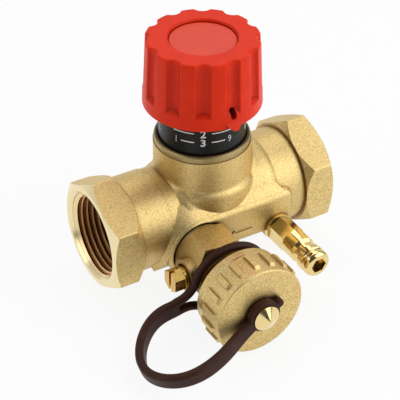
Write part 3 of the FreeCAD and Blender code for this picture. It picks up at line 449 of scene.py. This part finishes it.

# %% [markdown]
# ## Turned and polished brass
# Spindles and screws come off a lathe: a smoother metal with rings round the axis, which a noise gives
# that is stretched across the axis. The test nipple and the cap's pin are polished and mirror their
# surroundings, and painted shade darkens their deep places.


# %% Turned and polished metals
def lathe(name, base, rough, ring_mm, axis, edge_mm=0.12, hollows=0.0):
    """Turned metal: fine rings along one axis; hollows says how much painted shade darkens its deep
    places.
    """
    finish = Finish(name)
    stretch = [0.02, 0.02, 0.02]
    stretch["XYZ".index(axis)] = 1.0
    rings = finish.noise(ring_mm, detail=2.0, stretch=tuple(stretch))
    skin = finish.mix(finish.noise(3.0), darker(base, 0.86), base)
    if hollows:
        # Painted shade in the deep places.
        skin = finish.mix(finish.band(finish.open_air(3), 0.7, 0.3) * hollows, skin, PAINTED_SHADE)
    return finish.shade(
        Base_Color=skin,
        Roughness=rough + rings * 0.1,
        Metallic=1.0,
        Normal=finish.bumps(rings, deep_mm=0.012, strength=0.4, under=finish.soft_edges(edge_mm)),
    )


turned_up = lathe("turned_brass", colour(226, 190, 112), rough=0.22, ring_mm=0.12, axis="Z")
turned_side = lathe("turned_brass_side", colour(222, 184, 104), rough=0.2, ring_mm=0.12, axis="X")
# Strong painted shade in the deep places of the nipple and the pin.
polished = lathe(
    "polished_brass", colour(242, 216, 152), rough=0.09, ring_mm=0.15, axis="Y", edge_mm=0.08, hollows=0.95
)
pin_brass = lathe(
    "pin_brass", colour(244, 218, 156), rough=0.08, ring_mm=0.15, axis="Y", edge_mm=0.03, hollows=0.95
)
steel = lathe("spring_steel", colour(172, 172, 174), rough=0.28, ring_mm=0.1, axis="Z")
plated = lathe("plated_ball", colour(226, 228, 230), rough=0.08, ring_mm=0.2, axis="X")
print("turned metals ready")

# %% [markdown]
# ## Brass of the pipe threads
# Inside the dark bores the crests of the threads catch the light, and this light and shade are painted:
# the colour is a painted brown shade in the flanks, and a painted pale highlight on the crests and at
# both mouths.

# %% Thread brass
# Painted shade in the thread flanks and painted highlight on the crests and mouths.
THREAD_SHADE = colour(204, 142, 70)
CREST_HIGHLIGHT = colour(255, 228, 172)
CREST_RADIUS = (12.4 * MM, 12.15 * MM)
MOUTH_CONE = (13.6 * MM, 13.35 * MM)

bore_brass = Finish("bore_brass")
along = bore_brass.axis("X")
reach = bore_brass.length(Y=bore_brass.axis("Y"), Z=bore_brass.axis("Z"))
far_along = body_low.x + body_high.x - along
crest = bore_brass.band(reach, *CREST_RADIUS)
left_mouth = bore_brass.band(reach + along, *MOUTH_CONE)
right_mouth = bore_brass.band(reach + far_along, *MOUTH_CONE)
# Painted highlight on the crests and at both mouths.
painted_highlight = crest.at_least(left_mouth).at_least(right_mouth)
bore_brass.shade(
    Base_Color=bore_brass.mix(painted_highlight, THREAD_SHADE, CREST_HIGHLIGHT),
    Roughness=0.34 - painted_highlight * 0.1,
    Metallic=0.6,
    Normal=bore_brass.soft_edges(0.06),
)
print("thread brass ready")

# %% [markdown]
# ## Plastics and rubber
# The knob is a satin red moulding: its colour is nearly even, its skin has a fine grain, and painted shade
# darkens its flutes. The sleeve under it is black with white marks. The strap is a dark brown rubber,
# and the hidden seals are black.


# %% Plastic and rubber finishes
def moulded(name, base, shade, rough, grain_mm, deep_mm, edge_mm, shine=0.5, hollows=0.0):
    """A moulding's finish; hollows says how much painted shade darkens its hollows."""
    finish = Finish(name)
    tone = finish.noise(6.0)
    grain = finish.noise(grain_mm, detail=2.0)
    skin = finish.mix(finish.band(tone, 0.25, 0.8), shade, base)
    if hollows:
        # Painted shade in the hollows, such as the knob's flutes.
        hollow = finish.band(finish.open_air(5), 0.97, 0.68)
        skin = finish.mix(hollow * hollows, skin, darker(shade, 0.3))
    return finish.shade(
        Base_Color=skin,
        Roughness=rough + grain * 0.12,
        Specular_IOR_Level=shine,
        Normal=finish.bumps(grain, deep_mm, strength=0.35, under=finish.soft_edges(edge_mm)),
    )


# The knob's flutes get painted shade.
red = moulded(
    "red_plastic", colour(236, 50, 8), colour(228, 45, 6),
    rough=0.34, grain_mm=0.5, deep_mm=0.02, edge_mm=0.12, shine=0.16, hollows=0.65,
)
red_disc = moulded(
    "red_disc", colour(236, 62, 22), colour(228, 56, 18),
    rough=0.26, grain_mm=0.5, deep_mm=0.03, edge_mm=0.12,
)
black = moulded(
    "black_plastic", colour(15, 16, 18), colour(11, 12, 13),
    rough=0.3, grain_mm=0.4, deep_mm=0.02, edge_mm=0.2, shine=0.25,
)
brown = moulded(
    "brown_rubber", colour(68, 40, 29), colour(56, 31, 22),
    rough=0.4, grain_mm=0.6, deep_mm=0.04, edge_mm=0.3, shine=0.15,
)
seal = moulded(
    "black_rubber", colour(30, 30, 30), colour(22, 22, 22),
    rough=0.5, grain_mm=0.3, deep_mm=0.03, edge_mm=0.1,
)
white = moulded(
    "white_plastic", colour(228, 228, 220), colour(218, 218, 208),
    rough=0.4, grain_mm=0.3, deep_mm=0.02, edge_mm=0.1,
)
ink = moulded(
    "white_ink", colour(240, 240, 238), colour(228, 228, 226),
    rough=0.5, grain_mm=0.3, deep_mm=0.005, edge_mm=0.05,
)
print("plastics ready")

# %% [markdown]
# ## Finishes on the solids
# Most solids have the right shape already, so they stay and only get a finish. A table says which solid
# wears which finish, also for the hidden pieces, because the valve may be shown cut open.

# %% Finishes on the solids
worn_by = {
    forged: ["valve_body"],
    drain_brass: ["drain_body"],
    cap_brass: ["cap"],
    turned_up: ["headpiece", "spindle", "preset_spindle", "cone"],
    turned_side: ["drain_spindle", "drain_retainer", "nipple_poppet", "nipple_seat"],
    polished: ["nipple_body"],
    pin_brass: ["cap_pin"],
    steel: ["cone_clip", "knob_clip", "nipple_spring"],
    plated: ["drain_ball"],
    red: ["knob"],
    red_disc: ["knob_cover"],
    black: ["scale_sleeve"],
    brown: ["strap"],
    seal: [
        "headpiece_o_ring", "spindle_o_rings", "preset_o_ring", "cone_seal",
        "drain_spindle_o_ring", "cap_washer", "nipple_o_ring", "drain_gasket",
    ],
    white: ["ball_seats"],
}
for finish, names in worn_by.items():
    for name in names:
        wear(nodes[name], finish)
print("finished solids:", sum(len(names) for names in worn_by.values()))

# %% [markdown]
# ## Pipe threads
# Both pipe ends are tapped. The solids have plain bores at the thread's largest radius, so the ridge is
# added: one flat section, swept by the Screw modifier, gives all the turns at once and stays closed.

# %% Thread ridge
PITCH = 1.814 * MM
THREAD_TOP = 13.22 * MM
THREAD_DEEP = 1.16 * MM
THREAD_SUNK = 0.04 * MM
THREAD_TURNS = 8
THREAD_START_X = -1.1 * MM
FLANK = math.tan(math.radians(27.5))
CREST = 0.28 * MM
STEPS_A_TURN = 72


def ridge(name, axis, root, crest, turns):
    """A thread ridge round an axis through the origin, from its root radius to its crest radius."""
    deep = abs(crest - root)
    wide = CREST + 2 * deep * FLANK
    let_go()
    bpy.ops.mesh.primitive_plane_add(size=1)
    piece = bpy.context.object
    piece.name = name
    piece.scale = (wide, deep, 1)
    piece.location = (0, (root + crest) / 2, 0)
    settle(piece)
    bpy.ops.object.mode_set(mode="EDIT")
    bpy.ops.mesh.select_all(action="DESELECT")
    bpy.ops.object.mode_set(mode="OBJECT")
    for vertex in piece.data.vertices:
        vertex.select = abs(vertex.co.y - crest) < abs(vertex.co.y - root)
    bpy.ops.object.mode_set(mode="EDIT")
    bpy.ops.transform.resize(value=(CREST / wide, 1, 1), center_override=(0, crest, 0))
    bpy.ops.mesh.select_all(action="SELECT")
    bpy.ops.mesh.delete(type="ONLY_FACE")
    bpy.ops.object.mode_set(mode="OBJECT")
    steps = STEPS_A_TURN * turns
    press_on(
        piece, "SCREW", axis="X", screw_offset=PITCH * turns, angle=2 * math.pi * turns,
        steps=steps, render_steps=steps, iterations=1,
    )
    bpy.ops.object.mode_set(mode="EDIT")
    bpy.ops.mesh.select_all(action="SELECT")
    bpy.ops.mesh.fill_holes(sides=4)
    bpy.ops.object.mode_set(mode="OBJECT")
    if axis == "Y":
        piece.rotation_euler = (0, 0, math.radians(90))
        settle(piece)
    clean(piece)
    return piece


outlet_thread = ridge(
    "outlet_thread", "X", THREAD_TOP + THREAD_SUNK, THREAD_TOP - THREAD_DEEP, THREAD_TURNS
)
outlet_thread.location.x = THREAD_START_X
settle(outlet_thread)
print("turns of the pipe thread:", THREAD_TURNS, "faces:", len(outlet_thread.data.polygons))

# %% [markdown]
# ## Lead-in and second end
# A pipe finds its way into the first turn over a cone, so a cone is cut out of the ridge's start. The
# other end is the same thread, so it is a copy, turned round to the far mouth.

# %% Lead-in and second end
LEAD_IN = 2 * MM

let_go()
bpy.ops.mesh.primitive_cone_add(
    vertices=96, radius1=THREAD_TOP + LEAD_IN, radius2=THREAD_TOP - LEAD_IN, depth=2 * LEAD_IN,
    rotation=(0, math.radians(90), 0),
)
lead_in = bpy.context.object
settle(lead_in)
cut_with(outlet_thread, lead_in)
clean(outlet_thread)
smooth(outlet_thread, 30)
wear(outlet_thread, bore_brass)

inlet_thread = outlet_thread.copy()
inlet_thread.data = outlet_thread.data.copy()
inlet_thread.name = "inlet_thread"
bpy.context.scene.collection.objects.link(inlet_thread)
inlet_thread.rotation_euler = (0, 0, math.radians(180))
inlet_thread.location.x = body_low.x + body_high.x
settle(inlet_thread)
made(outlet_thread, "body", "forged_brass")
made(inlet_thread, "body", "forged_brass")

# %% [markdown]
# ## Thread of the hose stub
# The cap screws onto the end of the drain tube. It hides the thread while it is on, but an open drain
# shows it, so the groove is cut into a copy of the tube with the same ridge as a cutter.

# %% Hose stub
STUB_RADIUS = 12.6 * MM
STUB_DEEP = 0.8 * MM
STUB_OVER = 0.3 * MM
STUB_TURNS = 4
STUB_START = 0.6 * MM

drain_tube = copy_of("drain_body", "drain_tube")
cutter = ridge("cutter", "Y", STUB_RADIUS + STUB_OVER, STUB_RADIUS - STUB_DEEP, STUB_TURNS)
cutter.location = (drain_x, tube_tip_y - STUB_START, drain_z)
settle(cutter)
cut_with(drain_tube, cutter)
smooth(drain_tube, 30)
wear(drain_tube, drain_brass)
made(drain_tube, "body", "forged_brass", "drain_body")

# %% [markdown]
# ## Head of the test nipple
# The hose of a test set snaps onto the nipple's head, and a shallow round groove in the head holds it.
# A ring of round section, a torus, is the shape that a turning tool leaves, so it is cut out of a copy
# of the nipple.

# %% Nipple
HEAD_RADIUS = 4.35 * MM
GROOVE_DEEP = 0.4 * MM
GROOVE_SECTION = 0.85 * MM
GROOVE_FROM_TIP = 2.9 * MM

test_nipple = copy_of("nipple_body", "test_nipple")
let_go()
bpy.ops.mesh.primitive_torus_add(
    major_segments=96, minor_segments=24,
    major_radius=HEAD_RADIUS + GROOVE_SECTION - GROOVE_DEEP, minor_radius=GROOVE_SECTION,
    location=(nipple_x, nipple_tip_y + GROOVE_FROM_TIP, nipple_z), rotation=(math.radians(90), 0, 0),
)
groove = bpy.context.object
settle(groove)
cut_with(test_nipple, groove)
smooth(test_nipple, 30)
wear(test_nipple, polished)
made(test_nipple, "body", "polished_brass", "nipple_body")

# %% [markdown]
# ## Marks on the sleeve
# White numbers count the turns of the knob: a column of large ones with lines beside them, and a ring of
# small ones for the tenths. Each is a flat text made into a mesh, set in front of the spindle's axis,
# and wrapped round by the Cast modifier.

# %% Numbers and lines
INK_RADIUS = sleeve_radius + 0.015 * MM
COLUMN_TURN = -29.5
COLUMN_TOP = 38.4 * MM
TURN_RISE = 3.0 * MM
LAST_TURN = 3
LINE_THICK = 0.34 * MM
LINE_RISE = 0.1 * MM
LINE_FROM = 11
LINE_TO = 40
LAST_LINE_TO = 29
TENTHS_Z = 29.5 * MM
TENTH_TURN = 36
TURN_STYLE = {"tall": 2.5 * MM, "narrow": 1.05, "bold": 0.02}
TENTH_STYLE = {"tall": 2.2 * MM, "narrow": 0.8, "bold": -0.012}


def wrapped(piece, turn_deg, height):
    """Sets a flat mark at a height, bends it round the Z axis and turns it to its place."""
    piece.rotation_euler = (math.radians(90), 0, 0)
    piece.location = (0, -INK_RADIUS, height)
    settle(piece)
    press_on(
        piece, "CAST", cast_type="CYLINDER", factor=1.0, size=INK_RADIUS,
        use_radius_as_size=False, use_z=False,
    )
    piece.rotation_euler = (0, 0, math.radians(turn_deg))
    settle(piece)
    return piece


def number(words, turn_deg, height, tall, narrow, bold):
    let_go()
    bpy.ops.object.text_add()
    piece = bpy.context.object
    piece.data.body = words
    piece.data.offset = bold
    piece.data.align_x = "CENTER"
    piece.data.resolution_u = 4
    take(piece)
    bpy.ops.object.convert(target="MESH")
    piece = bpy.context.object
    low = min(v.co.y for v in piece.data.vertices)
    high = max(v.co.y for v in piece.data.vertices)
    left = min(v.co.x for v in piece.data.vertices)
    right = max(v.co.x for v in piece.data.vertices)
    size = tall / (high - low)
    piece.scale = (size * narrow, size, size)
    piece.location = (-size * narrow * (left + right) / 2, -size * (low + high) / 2, 0)
    settle(piece)
    bpy.ops.object.mode_set(mode="EDIT")
    bpy.ops.mesh.select_all(action="SELECT")
    bpy.ops.mesh.subdivide(number_cuts=2)
    bpy.ops.object.mode_set(mode="OBJECT")
    return wrapped(piece, turn_deg, height)


def line(start_deg, end_deg, height):
    long = math.radians(abs(end_deg - start_deg)) * INK_RADIUS
    let_go()
    bpy.ops.mesh.primitive_grid_add(x_subdivisions=14, y_subdivisions=1, size=1)
    piece = bpy.context.object
    piece.scale = (long, LINE_THICK, 1)
    settle(piece)
    return wrapped(piece, COLUMN_TURN + (start_deg + end_deg) / 2, height)


marks = []
for turns in range(LAST_TURN + 1):
    height = COLUMN_TOP - TURN_RISE * turns
    line_to = LAST_LINE_TO if turns == LAST_TURN else LINE_TO
    marks.append(number(str(turns), COLUMN_TURN, height, **TURN_STYLE))
    marks.append(line(LINE_FROM, line_to, height + LINE_RISE))
    marks.append(line(-line_to, -LINE_FROM, height + LINE_RISE))
for tenth in range(1, 10):
    marks.append(number(str(tenth), COLUMN_TURN - TENTH_TURN * tenth, TENTHS_Z, **TENTH_STYLE))
print("marks:", len(marks))

# %% [markdown]
# ## Ink
# All the marks are printed in one go, so they are joined into one piece. Solidify gives the flat marks the
# thickness of a coat of ink, half of it in the sleeve's wall.

# %% Ink
INK_THICK = 0.05 * MM

take(*marks)
bpy.ops.object.join()
sleeve_marks = bpy.context.object
sleeve_marks.name = "sleeve_marks"
sleeve_marks.location.x = stem_x
settle(sleeve_marks)
press_on(sleeve_marks, "SOLIDIFY", thickness=INK_THICK, offset=0.0)
clean(sleeve_marks)
wear(sleeve_marks, ink)
made(sleeve_marks, "body", "black_plastic")

# %% [markdown]
# ## The strap
# The strap hangs on the drain tube at one end and on the cap's pin at the other, so it has to give when
# the cap is screwed off. A merged copy of its solid, shaded smooth, takes its place.

strap = copy_of("strap", "rubber_strap")
smooth(strap, 50)
wear(strap, brown)
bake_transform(strap)
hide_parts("strap")
print("strap:", len(strap.data.polygons), "faces")

# %% [markdown]
# ## The spring in the nipple
# The test probe presses the nipple's check pin in, and the spring behind it gets shorter. A merged copy
# of the spring, shaded smooth and with a mesh of its own, takes its place and rides on the body.

coil = copy_of("nipple_spring", "nipple_coil")
smooth(coil, 60)
wear(coil, steel)
made(coil, "body", "spring_steel", "nipple_spring")
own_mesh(coil)

# %% [markdown]
# ## Camera
# The camera looks from the photograph's place. Its direction, roll, distance and focal length were worked
# out from the valve's own edges, and its axes are built up from them.

# %% Camera
CAMERA_TURN = math.radians(-30.827)
CAMERA_LIFT = math.radians(36.503)
CAMERA_ROLL = math.radians(0.454)
CAMERA_AWAY = 430.91 * MM
AIM_Z = 15 * MM
AIM_LEFT = 0.448 * MM
AIM_DOWN = 12.687 * MM
SENSOR = 36
FOCUS_PIXELS = 1422.971
PICTURE_PIXELS = 400

back = Vector((
    math.cos(CAMERA_LIFT) * math.sin(CAMERA_TURN),
    -math.cos(CAMERA_LIFT) * math.cos(CAMERA_TURN),
    math.sin(CAMERA_LIFT),
))
right = Vector((math.cos(CAMERA_TURN), math.sin(CAMERA_TURN), 0))
up = back.cross(right)
aim = Vector((stem_x, 0, AIM_Z)) - right * AIM_LEFT - up * AIM_DOWN
side = right * math.cos(CAMERA_ROLL) + up * math.sin(CAMERA_ROLL)
top = up * math.cos(CAMERA_ROLL) - right * math.sin(CAMERA_ROLL)
stand = Matrix((side, top, back)).transposed().to_4x4()
stand.translation = aim + back * CAMERA_AWAY
let_go()
bpy.ops.object.camera_add()
camera = bpy.context.object
camera.matrix_world = stand
camera.data.sensor_width = SENSOR
camera.data.lens = SENSOR * FOCUS_PIXELS / PICTURE_PIXELS
camera.data.clip_start = 0.01
bpy.context.scene.camera = camera
bpy.context.scene.view_settings.view_transform = "Standard"
print("camera at", [round(v / MM) for v in camera.location])

# %% [markdown]
# ## Lamps
# Three soft square lamps stand left, right and above, and all face the valve. The right one is the
# largest and strongest: brass shows what it mirrors, so a wide lamp gives wide, soft lights on it.

# %% Lamps
LAMPS = {
    "lamp_left": {"place": (-0.46, 0.0, 0.26), "size": 0.4, "power": 0.7},
    "lamp_right": {"place": (0.42, -0.40, 0.36), "size": 0.75, "power": 3.6},
    "lamp_above": {"place": (0.16, 0.20, 0.56), "size": 0.5, "power": 1.0},
}
LAMP_AIM = Vector((stem_x, 0, 0.01))


def lamp(name, place, size, power):
    let_go()
    bpy.ops.object.light_add(type="AREA", location=place)
    light = bpy.context.object
    light.name = name
    light.data.size = size
    light.data.energy = power
    light.rotation_euler = (LAMP_AIM - Vector(place)).to_track_quat("-Z", "Y").to_euler()


for name, settings in LAMPS.items():
    lamp(name, **settings)
print("lamps:", len(LAMPS))

# %% [markdown]
# ## Floor and air
# The floor is a pale paper just under the valve. To the camera and in mirrors it glows almost white, and
# it still takes the valve's soft shadow. The air is dark in front and pale behind, which gives the brass
# something to mirror.

# %% Floor and air
FLOOR_WIDE = 6
FLOOR_BELOW = 0.2 * MM
FLOOR_GLOW = 0.9
AIR_FRONT = (0.08, 0.08, 0.08, 1)
AIR_BEHIND = (0.7, 0.7, 0.7, 1)

let_go()
bpy.ops.mesh.primitive_grid_add(
    x_subdivisions=8, y_subdivisions=8, size=FLOOR_WIDE, location=(stem_x, 0, cad_box[0].z - FLOOR_BELOW)
)
floor = bpy.context.object
floor.name = "floor"
settle(floor)
paper = Finish("floor_paper")
paper.shade(Base_Color=colour(246, 246, 246), Roughness=0.9, Specular_IOR_Level=0.0)
glow = paper.node("ShaderNodeEmission", Strength=1.0)
seen = paper.node("ShaderNodeLightPath", output="Is Camera Ray")
seen = seen.at_least(paper.node("ShaderNodeLightPath", output="Is Glossy Ray"))
seen = seen.at_least(paper.node("ShaderNodeLightPath", output="Is Transmission Ray"))
paper.shares(seen * FLOOR_GLOW, glow)
wear(floor, paper)

air = Finish("studio_air", of_world=True)
air.shade(Color=AIR_FRONT)
behind = air.node("ShaderNodeBackground", Color=AIR_BEHIND)
air.shares(air.band(air.axis("Y"), -0.3, 0.7), behind)
bpy.context.scene.world = air.material
print("studio ready")

# %% [markdown]
# ## Sizes
# The dressed valve has to fill the same box as its solids.

# %% Sizes
let_go()
